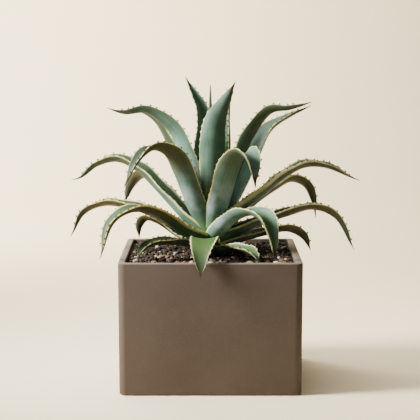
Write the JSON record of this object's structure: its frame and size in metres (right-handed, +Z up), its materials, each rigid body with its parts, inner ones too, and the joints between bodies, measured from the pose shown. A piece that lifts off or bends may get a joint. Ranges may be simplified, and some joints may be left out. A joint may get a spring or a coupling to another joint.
{
  "type": "potted agave",
  "caption": "Agave in a square stoneware pot: a rosette of arching, channelled leaves with pale toothed edges and spined tips, on a short stem in gritty mix.",
  "frame": {"origin": "middle of the pot's base, on the surface that it stands on", "axes": "+Z up, the front of the pot and plant as pictured faces -Y, +X to the right of the front"},
  "size_m": [0.332, 0.2404, 0.3432],
  "materials": {
    "stoneware": "matte, unglazed, fine sandy grain",
    "potting_mix": "rough, dark grit with tan and cream stones",
    "leaf": "blue-green with a waxy bloom and cream toothed edges",
    "stem": "pale green leaf bases"
  },
  "bodies": {
    "root": {"pot": "stoneware", "potting_mix": "potting_mix", "stem": "stem", "bud": "leaf", "leaf_01": "leaf", "leaf_02": "leaf", "leaf_03": "leaf", "leaf_04": "leaf", "leaf_05": "leaf", "leaf_06": "leaf", "leaf_07": "leaf", "leaf_08": "leaf", "leaf_09": "leaf", "leaf_10": "leaf", "leaf_11": "leaf", "leaf_12": "leaf", "leaf_13": "leaf", "leaf_14": "leaf", "leaf_15": "leaf", "leaf_16": "leaf", "leaf_17": "leaf", "leaf_18": "leaf", "leaf_19": "leaf", "leaf_20": "leaf", "leaf_21": "leaf", "leaf_22": "leaf", "leaf_23": "leaf", "leaf_24": "leaf", "leaf_25": "leaf", "leaf_26": "leaf", "leaf_27": "leaf", "leaf_28": "leaf"}
  },
  "joints": []
}
